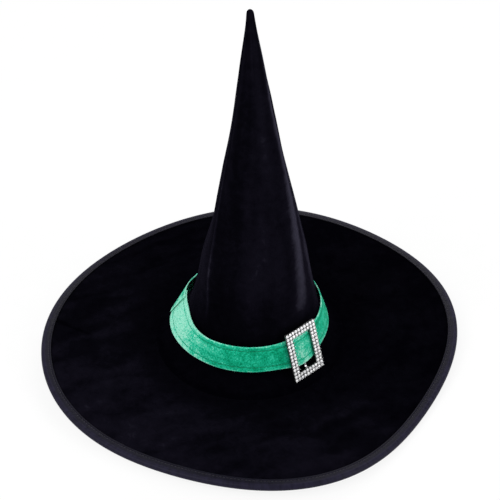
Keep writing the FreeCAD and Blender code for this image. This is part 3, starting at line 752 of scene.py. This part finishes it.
def binding_section():
    """Closed outline of the folded strip's section, as (inset from the rim, height above the wire)."""
    outer, inner = BINDING_OUTER, BINDING_OUTER - BINDING_CLOTH
    legs = np.linspace(BINDING_WIDTH, outer, 12)
    turns = np.radians(np.linspace(0.0, 180.0, 15))
    section = [(BINDING_WIDTH - 0.25, outer - 0.45)]
    section += [(inset, outer) for inset in legs[:-1]]
    section += [(outer * (1.0 - math.sin(turn)), outer * math.cos(turn)) for turn in turns]
    section += [(inset, -outer) for inset in legs[::-1][1:]]
    section += [(BINDING_WIDTH - 0.25, 0.45 - outer), (BINDING_WIDTH, -inner)]
    section += [(BINDING_CLOTH + inner * (1.0 - math.sin(turn)), inner * math.cos(turn))
                for turn in turns[::-1]]
    section.append((BINDING_WIDTH, inner))
    return section


def build_binding():
    section = binding_section()
    inset, up = np.array(section).T[:, :, None]
    turn = np.repeat(BRIM_TURNS[None, :], len(section), 0)
    outer_face = eased((np.abs(up) - (BINDING_OUTER - 0.7)) / 0.6)
    spots = brim_surface(turn, rim_radius(turn) - inset, 0.0)
    ripple = clouds(spots, (5.0, 5.0, 5.0), 31.7)
    stitched = -0.25 * bump(inset, STITCH_INSET, 0.5) + 0.12 * bump(inset, 9.2, 0.5)
    puff = 0.16 * ripple * bump(inset, 6.0, 2.5)
    # Painted light and shade: full tone on the rolled outer edge, painted shade on the inner half, in the
    # stitch groove and along the inner edge where the binding meets the brim.
    shade = 1.0 - 0.5 * eased((inset - 3.8) / 0.8) - 0.35 * bump(inset, STITCH_INSET, 0.55)
    shade = shade - 0.9 * bump(inset, BINDING_WIDTH + 0.1, 0.5)
    level = WIRE_LEVEL + up + np.sign(up) * outer_face * (stitched + puff)
    strip = grid_object("brim_binding_strip", brim_surface(turn, rim_radius(turn) - inset, level),
                        BINDING, wrap_rows=True, painted_light_and_tone=np.clip(shade + 0.0 * turn, 0.0, 1.0))
    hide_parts("brim_binding")
    rows = [strip]
    turn = np.linspace(0.0, 2.0 * math.pi, 721)
    for name, side in (("top", 1.0), ("bottom", -1.0)):
        path = brim_surface(turn, rim_radius(turn) - STITCH_INSET, WIRE_LEVEL + side * (BINDING_OUTER - 0.1))
        outward = np.repeat([[0.0, 0.0, side]], len(turn), 0)
        rows.append(stitch_row(f"binding_stitches_{name}", path, outward, BINDING_STITCH, BLACK_THREAD))
    return rows


def build_brim():
    made = []
    for name, node, top, cloth, material, slot, creased in (
            ("brim_top_cloth", "brim_top_velvet", CLOTH_TOP, BRIM_CLOTH, BLACK_VELVET, "black_velvet", True),
            ("brim_stiffening", "brim_stiffener", STIFFENING_TOP, BRIM_STIFFENING, INTERLINING_CLOTH,
             "interlining", False),
            ("brim_under_cloth", "brim_underside", UNDERSIDE_TOP, BRIM_CLOTH, LINING_CLOTH,
             "lining_cloth", False)):
        layer = brim_layer(name, top, cloth, material, creased, 110 if creased else 24)
        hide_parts(node)
        made.append(layer)
    return made + build_binding()


# ---------------------------------------------------------------- head opening

def build_sweatband():
    """Corded ribbon: upright at the opening, then leaning in along the lining."""
    depth = VELVET + INTERLINING + LINING + 3.0 * LAYER_GAP + ALLOWANCE_GAP
    turn = CROWN_TURNS[None, :]
    rings = []
    for level in np.linspace(SWEATBAND_FOOT, 0.2, 8):
        rings.append((OPENING_RADIUS + 0.0 * turn, level + 0.0 * turn))
    for height in np.linspace(SWEATBAND_BEND, SWEATBAND_HEIGHT, 20):
        reach = crown_radius(height) - depth - SWEATBAND_CLOTH
        rings.append((reach + 0.0 * turn, height + 0.0 * turn))
    inside = np.concatenate([np.stack([reach * np.cos(turn), reach * np.sin(turn), level], -1)
                             for reach, level in rings])
    outside = np.concatenate([np.stack([(reach + SWEATBAND_CLOTH) * np.cos(turn),
                                        (reach + SWEATBAND_CLOTH) * np.sin(turn), level], -1)
                              for reach, level in rings])
    ribbon = grid_object("sweatband_ribbon", np.concatenate([inside, outside[::-1]]), RIBBON, wrap_rows=True)
    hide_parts("sweatband")
    return [ribbon]


def build_tape():
    """Tape over the turned edge of the opening, with a row of stitches at each side."""
    top = BRIM_BOTTOM - LAYER_GAP
    section = []
    for out in np.linspace(0.0, TAPE_WIDTH, 9):
        sag = TAPE_CROWNING * math.sin(math.pi * out / TAPE_WIDTH)
        section.append((BRIM_EDGE + out, top - TAPE_CLOTH + TAPE_CROWNING - sag))
    section += [(BRIM_EDGE + TAPE_WIDTH, top), (BRIM_EDGE, top)]
    radius, level = np.array(section).T[:, :, None]
    turn = np.repeat(BRIM_TURNS[None, :], len(section), 0)
    tape = grid_object("opening_tape_strip", brim_surface(turn, radius + 0.0 * turn, level), TAPE_WEAVE,
                       wrap_rows=True)
    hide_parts("opening_tape")
    made = [tape]
    turn = np.linspace(0.0, 2.0 * math.pi, 361)
    for name, out in (("inner", 1.0), ("outer", TAPE_WIDTH - 1.0)):
        path = brim_surface(turn, BRIM_EDGE + out + 0.0 * turn, top - TAPE_CLOTH + 0.12)
        outward = np.repeat([[0.0, 0.0, -1.0]], len(turn), 0)
        made.append(stitch_row(f"tape_stitches_{name}", path, outward, TAPE_STITCH, BLACK_THREAD))
    return made


# ---------------------------------------------------------------- hatband

def band_radius(up, depth):
    """Radius of the band at a distance up its slope and a depth behind its face."""
    top = BAND_LEVEL + BAND_WIDTH * math.cos(BAND_LEAN)
    upper = crown_radius(top) + BAND_ROOM + 2.0 * BAND_CLOTH / math.cos(BAND_LEAN)
    return upper + (BAND_WIDTH - up) * math.sin(BAND_LEAN) - depth * math.cos(BAND_LEAN)


def band_hug(bearing):
    """How far the band's upper edge leans in towards the crown at a bearing in degrees."""
    away = np.abs(bearing_from(bearing, BAND_HUG_BEARING))
    return BAND_HUG * (1.0 - eased(away / BAND_HUG_REACH))


def band_droop(bearing, up):
    """How far the band sags along its slope: its lower edge in the buckle, all of it behind the lap."""
    framed = bump(bearing_from(bearing, BAND_DROOP_BEARING), 0.0, 15.0)
    lapped = bump(bearing_from(bearing, LAP_DROOP_BEARING), 0.0, 30.0)
    free = np.clip(1.0 - up / BAND_WIDTH, 0.0, 1.0)
    return BAND_DROOP * framed * free + LAP_DROOP * lapped


def band_point(along, up, depth):
    """Point of the band; along is the bearing from its join in degrees."""
    ramp = eased((along - 360.0 + 2.0 * BAND_LAP) / (1.5 * BAND_LAP))
    depth = depth - (2.0 * BAND_CLOTH + LAYER_GAP) * ramp
    turn = np.radians(BAND_JOIN + along)
    hug = band_hug(BAND_JOIN + along)
    lower = up - band_droop(BAND_JOIN + along, up)
    radius = band_radius(lower, depth) - hug * up / BAND_WIDTH + 0.2 * hug * (1.0 - up / BAND_WIDTH)
    height = BAND_LEVEL + lower * math.cos(BAND_LEAN) - depth * math.sin(BAND_LEAN)
    height = height - 0.3 * hug * up / BAND_WIDTH
    return np.stack([BAND_SHIFT + radius * np.cos(turn), radius * np.sin(turn), height], -1)


def band_outward(along):
    """Direction that faces out of the band."""
    turn = np.radians(BAND_JOIN + along)
    level = np.full_like(turn, math.sin(BAND_LEAN))
    return np.stack([math.cos(BAND_LEAN) * np.cos(turn), math.cos(BAND_LEAN) * np.sin(turn), level], -1)


def topstitched(up):
    """The grooves of the two rows of topstitching."""
    return bump(up, BAND_SEWN_LOW, 0.55) + bump(up, BAND_SEWN_HIGH, 0.55)


def band_tone_and_painted_light(along, up, crush):
    """Tone of the band's pile, from 0 to 1, with painted light in it: a painted sheen at the left, painted
    highlights inside the buckle, at the right and along both folded edges, painted shade in the grooves of
    the topstitching, and random crushing of the pile.
    """
    bearing = BAND_JOIN + along
    left = bump(bearing_from(bearing, 190.0), 0.0, 42.0)
    framed = bump(bearing_from(bearing, BAND_DROOP_BEARING), 0.0, 9.0)
    right = bump(bearing_from(bearing, -12.0), 0.0, 30.0)
    hems = bump(up, 0.3, 1.0) + bump(up, BAND_WIDTH - 0.3, 1.0)
    painted_light_and_tone = 0.46 + 0.62 * left + 0.36 * framed + 0.12 * right + 0.30 * hems - 0.28 * topstitched(up)
    return np.clip(painted_light_and_tone + 0.22 * crush, 0.0, 1.0)


def build_hatband():
    up, depth = np.array(strip_outline()).T[:, None, :]
    along = np.linspace(0.0, 360.0 + BAND_LAP, 520)[:, None]
    flat = np.stack(np.broadcast_arrays(np.radians(along) * BAND_NOISE_RADIUS, up, 0.0), -1)
    front = eased((BAND_CLOTH * 1.1 - depth) / (BAND_CLOTH * 0.6))
    crush = clouds(flat, (9.0, 7.0, 1.0), 41.2)
    press = 0.34 * topstitched(up) + 0.18 * crush - 0.12 * bump(up, BAND_WIDTH / 2.0, 7.0)
    points = band_point(along, up + 0.25 * clouds(flat, (34.0, 60.0, 1.0), 17.7), depth + front * press)
    strip = grid_object("green_hatband", points, GREEN_VELVET, caps=(0, len(along) - 1),
                        painted_light_and_tone=band_tone_and_painted_light(along, up, crush))
    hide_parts("hatband_strip")
    return [strip, build_backing()] + build_band_stitches()


def strip_outline():
    """Closed outline of the strip's section: the face, the upper fold, the back, the lower fold."""
    thick, round_off = 2.0 * BAND_CLOTH, BAND_CLOTH
    turns = np.linspace(0.0, math.pi, 8)
    face = [(up, 0.0) for up in np.linspace(round_off, BAND_WIDTH - round_off, 44)]
    upper = [(BAND_WIDTH - round_off + round_off * math.sin(turn), round_off * (1.0 - math.cos(turn)))
             for turn in turns[1:-1]]
    back = [(BAND_WIDTH - round_off, thick), (BAND_WIDTH - BAND_HEM, thick),
            (BAND_WIDTH - BAND_HEM - 0.15, BAND_CLOTH), (BAND_HEM + 0.15, BAND_CLOTH),
            (BAND_HEM, thick), (round_off, thick)]
    lower = [(round_off - round_off * math.sin(turn), round_off * (1.0 + math.cos(turn)))
             for turn in turns[1:-1]]
    return face + upper + back + lower


def build_backing():
    near = BAND_CLOTH + LAYER_GAP / 2.0
    low, high = BACKING_INSET, BAND_WIDTH - BACKING_INSET
    section = ((low, near), (high, near), (high, near + BACKING_CLOTH), (low, near + BACKING_CLOTH))
    up, depth = np.array(section).T[:, None, :]
    along = np.linspace(0.0, 360.0 - 2.0 * BAND_LAP, 180)[:, None]
    tape = grid_object("hatband_backing_tape", band_point(along, up + 0.0 * along, depth + 0.0 * along),
                       INTERLINING_CLOTH, caps=(0, len(along) - 1))
    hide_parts("hatband_backing")
    return tape


def build_band_stitches():
    """Topstitching along both hems, and the tacks that hold the lap."""
    made = []
    along = np.linspace(1.0, 359.0 + BAND_LAP, 720)
    for name, up in (("lower", BAND_SEWN_LOW), ("upper", BAND_SEWN_HIGH)):
        path = band_point(along, up + 0.0 * along, 0.16 + 0.0 * along)
        made.append(stitch_row(f"hatband_topstitch_{name}", path, band_outward(along), BAND_STITCH,
                               GREEN_THREAD))
    places = []
    for up in (TACK_INSET, BAND_WIDTH / 2.0, BAND_WIDTH - TACK_INSET):
        for offset in (-0.5, 0.0, 0.5):
            along = np.array([360.0 + 0.5 * BAND_LAP])
            spot = band_point(along, np.array([up + offset]), np.array([-0.1]))[0]
            outward = band_outward(along)[0]
            sideways = np.cross(outward, (0.0, 0.0, 1.0))
            places.append(place_at(spot, sideways + np.array((0.0, 0.0, 0.1 * offset)), outward))
    tacks = copies_object("hatband_lap_tacks", stitch_shape(TACK_LENGTH, TACK_WIDTH), places, GREEN_THREAD)
    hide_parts("hatband_tack_stitches")
    return made + [tacks]


# ---------------------------------------------------------------- buckle

# Turned shapes, as (radius, height above the plate).
STONE_PROFILE = ((0.95 * STONE_CUT, 0.0), (STONE_CUT, 0.5), (0.9 * STONE_CUT, 1.0),
                 (0.55 * STONE_CUT, STONE_HEIGHT))
CUP_PROFILE = ((1.76, 0.0), (1.84, 0.0), (1.86, 0.42), (1.83, 0.52), (1.79, 0.50), (1.76, 0.1))
BEAD_PROFILE = ((0.36, 0.0), (0.36, 0.9), (BEAD_RADIUS, 1.2), (0.34, 1.5), (0.24, 1.75), (0.10, 1.86))


def buckle_frame_place():
    """Axes and middle of the frame's back face, from the CAD plate's own corners."""
    low, high = box_mm("buckle_frame")
    out = np.array((math.cos(BUCKLE_BEARING), math.sin(BUCKLE_BEARING), 0.0))
    x = np.array((-math.sin(BUCKLE_BEARING), math.cos(BUCKLE_BEARING), 0.0))
    y = np.array((0.0, 0.0, math.cos(BAND_LEAN))) - out * math.sin(BAND_LEAN)
    z = np.cross(x, y)
    middle = (low + high) / 2.0 - z * PLATE / 2.0
    return np.column_stack([x, y, z, middle])


def cell_centres():
    """Middle of every stone's cell, as (row from the edge, across, upward)."""
    cells = []
    for column in range(STONES_ACROSS):
        for line in range(STONES_UP):
            edge = min(column, line, STONES_ACROSS - 1 - column, STONES_UP - 1 - line)
            if edge < STONE_ROWS:
                cells.append((edge, (column - (STONES_ACROSS - 1) / 2.0) * STONE_PITCH,
                              (line - (STONES_UP - 1) / 2.0) * STONE_PITCH))
    return cells


def lathe_shape(profile, sides, twist=0.0):
    """Small turned shape closed at both ends; every second ring may be twisted by half a side."""
    vertices, faces = [], []
    for ring, (radius, height) in enumerate(profile):
        for side in range(sides):
            turn = 2.0 * math.pi * (side + twist * (ring % 2)) / sides
            vertices.append((radius * math.cos(turn), radius * math.sin(turn), height))
    for ring in range(len(profile) - 1):
        for side in range(sides):
            a, b = ring * sides + side, ring * sides + (side + 1) % sides
            faces.append([a, b, b + sides])
            faces.append([a, b + sides, a + sides])
    faces += [list(range(sides))[::-1], [(len(profile) - 1) * sides + side for side in range(sides)]]
    return vertices, faces


def on_plate(place, across, upward):
    spot = np.array((across, upward, PLATE))
    return np.column_stack([place[:, :3], place[:, :3] @ spot + place[:, 3]])


def build_stones(place):
    """Round cut stones, each turned a little differently in its cup."""
    shape = lathe_shape(STONE_PROFILE, 8, 0.5)
    made = []
    for row, name in enumerate(("rhinestones_outer_row", "rhinestones_inner_row")):
        spots = [(across, upward) for edge, across, upward in cell_centres() if edge == row]
        places = []
        for index, (across, upward) in enumerate(spots):
            turn = 1.7 * index + row
            tilt = 0.07 * math.sin(2.9 * index + row)
            spin = np.array(((math.cos(turn), -math.sin(turn), tilt),
                             (math.sin(turn), math.cos(turn), -tilt),
                             (-tilt, tilt, 1.0)))
            seat = np.array((across, upward, PLATE + STONE_SEAT))
            places.append(np.column_stack([place[:, :3] @ spin, place[:, :3] @ seat + place[:, 3]]))
        stones = copies_object(name + "_cut", shape, places, STONE, smooth=False)
        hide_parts(name)
        made.append(stones)
    return made


def build_settings(place):
    """A thin cup round every stone and a bead of metal at every corner of the settings."""
    vertices, faces = lathe_shape(CUP_PROFILE, 14)
    open_cup = (vertices, faces[:-2])
    places = [on_plate(place, *cell[1:]) for cell in cell_centres()]
    cups = copies_object("setting_cups", open_cup, places, SHADED_SILVER)
    places = []
    inward = 1.0 - 2.0 * BEAD_RADIUS / (STONE_PITCH * STONES_ACROSS)
    for column in range(STONES_ACROSS + 1):
        for line in range(STONES_UP + 1):
            inside = min(column, line, STONES_ACROSS - column, STONES_UP - line)
            if inside > STONE_ROWS:
                continue
            places.append(on_plate(place, (column - STONES_ACROSS / 2.0) * STONE_PITCH * inward,
                                   (line - STONES_UP / 2.0) * STONE_PITCH * inward))
    beads = copies_object("setting_prong_beads", lathe_shape(BEAD_PROFILE, 8), places, SILVER)
    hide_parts("setting_prongs")
    return [cups, beads]


def build_buckle():
    place = buckle_frame_place()
    return build_stones(place) + build_settings(place)


# ---------------------------------------------------------------- carried-over CAD nodes

def dress_cad_nodes():
    # The frame takes the darker copy of the silver plate, painted shade round the stones.
    for node, material in (("buckle_frame", SHADED_SILVER), ("buckle_centre_bar", SILVER),
                           ("brim_wire", STEEL), ("wire_ferrule", STEEL)):
        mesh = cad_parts[node].data
        mesh.materials.clear()
        mesh.materials.append(material)


# ---------------------------------------------------------------- floor, light and camera

SHADOW_SHARE = 0.86
SHADOW_REACH = (0.3, 1.1)
FLOOR_HALF = 4.0
SKY_LIGHT = 0.55
LAMP_SIZE = 1.2
CAMERA_SPOT = (0.0, -1.0126, 0.9154)
CAMERA_ELEVATION = 38.53
CAMERA_LENS = 96.06


def backdrop_material():
    """White to the camera and in reflections, with a little of the hat's shadow left near the middle."""
    paper = Nodes("white_paper", Roughness=0.9, Specular_IOR_Level=0.1)
    grain = paper.noise(paper.place(), 40.0)
    paper.colour(paper.greys(grain, (0.3, 0.86), (0.7, 0.9)))
    rays = paper.add("ShaderNodeLightPath").outputs
    seen = paper.maths("MAXIMUM", rays["Is Camera Ray"], rays["Is Glossy Ray"])
    seen = paper.maths("MAXIMUM", seen, rays["Is Transmission Ray"])
    away = paper.add("ShaderNodeVectorMath", {0: paper.place()}, operation="LENGTH").outputs["Value"]
    near, far = SHADOW_REACH
    whiter = paper.add("ShaderNodeMapRange", {"Value": away, "From Min": near, "From Max": far,
                                              "To Min": SHADOW_SHARE, "To Max": 1.0}).outputs["Result"]
    share = paper.maths("MULTIPLY", seen, whiter)
    white = paper.add("ShaderNodeEmission", {"Color": (1.0, 1.0, 1.0, 1.0), "Strength": 1.0})
    blend = paper.add("ShaderNodeMixShader", {0: share, 1: paper.shader.outputs[0], 2: white.outputs[0]})
    paper.tree.links.new(blend.outputs[0], paper.tree.nodes["Material Output"].inputs["Surface"])
    return paper.material


def build_floor():
    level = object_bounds()[0][2]
    half = FLOOR_HALF
    mesh = bpy.data.meshes.new("floor")
    corners = [(-half, -half, level), (half, -half, level), (half, half, level), (-half, half, level)]
    mesh.from_pydata(corners, [], [(0, 1, 2, 3)])
    mesh.materials.append(backdrop_material())
    floor = bpy.data.objects.new("floor", mesh)
    bpy.context.scene.collection.objects.link(floor)


def build_world():
    """White to the camera, dimmer as a light."""
    world = bpy.data.worlds.new("studio")
    world.use_nodes = True
    tree = world.node_tree
    background = tree.nodes["Background"]
    rays = tree.nodes.new("ShaderNodeLightPath")
    strength = tree.nodes.new("ShaderNodeMix")
    seen = tree.nodes.new("ShaderNodeMath")
    seen.operation = "MAXIMUM"
    tree.links.new(rays.outputs["Is Camera Ray"], seen.inputs[0])
    tree.links.new(rays.outputs["Is Transmission Ray"], seen.inputs[1])
    tree.links.new(seen.outputs[0], strength.inputs[0])
    strength.inputs[2].default_value = SKY_LIGHT
    strength.inputs[3].default_value = 1.0
    tree.links.new(strength.outputs[0], background.inputs["Strength"])
    background.inputs["Color"].default_value = (1.0, 1.0, 1.0, 1.0)
    bpy.context.scene.world = world


def add_lamp(name, spot, aim, power):
    lamp = bpy.data.lights.new(name, "AREA")
    lamp.size = LAMP_SIZE
    lamp.energy = power
    made = bpy.data.objects.new(name, lamp)
    made.location = spot
    made.rotation_euler = (Vector(aim) - Vector(spot)).to_track_quat("-Z", "Y").to_euler()
    bpy.context.scene.collection.objects.link(made)


def build_lights():
    middle = (0.0, 0.0, 0.1)
    add_lamp("key", (-1.3, -0.9, 1.6), middle, 25.0)
    add_lamp("fill", (1.6, -0.7, 1.0), middle, 15.0)
    add_lamp("rim", (0.3, 1.6, 1.3), middle, 14.0)


def build_camera():
    camera = bpy.data.cameras.new("camera")
    camera.sensor_width = 36.0
    camera.lens = CAMERA_LENS
    made = bpy.data.objects.new("camera", camera)
    made.location = CAMERA_SPOT
    made.rotation_euler = (math.radians(90.0 - CAMERA_ELEVATION), 0.0, 0.0)
    bpy.context.scene.collection.objects.link(made)
    bpy.context.scene.camera = made


# ---------------------------------------------------------------- the hat

for body, pieces in (("hat", build_crown() + build_brim() + build_sweatband() + build_tape()),
                     ("hatband", build_hatband()),
                     ("buckle", build_buckle())):
    for made in pieces:
        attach(made, body)
dress_cad_nodes()
build_floor()
build_world()
build_lights()
build_camera()
bpy.context.scene.view_settings.view_transform = "Standard"
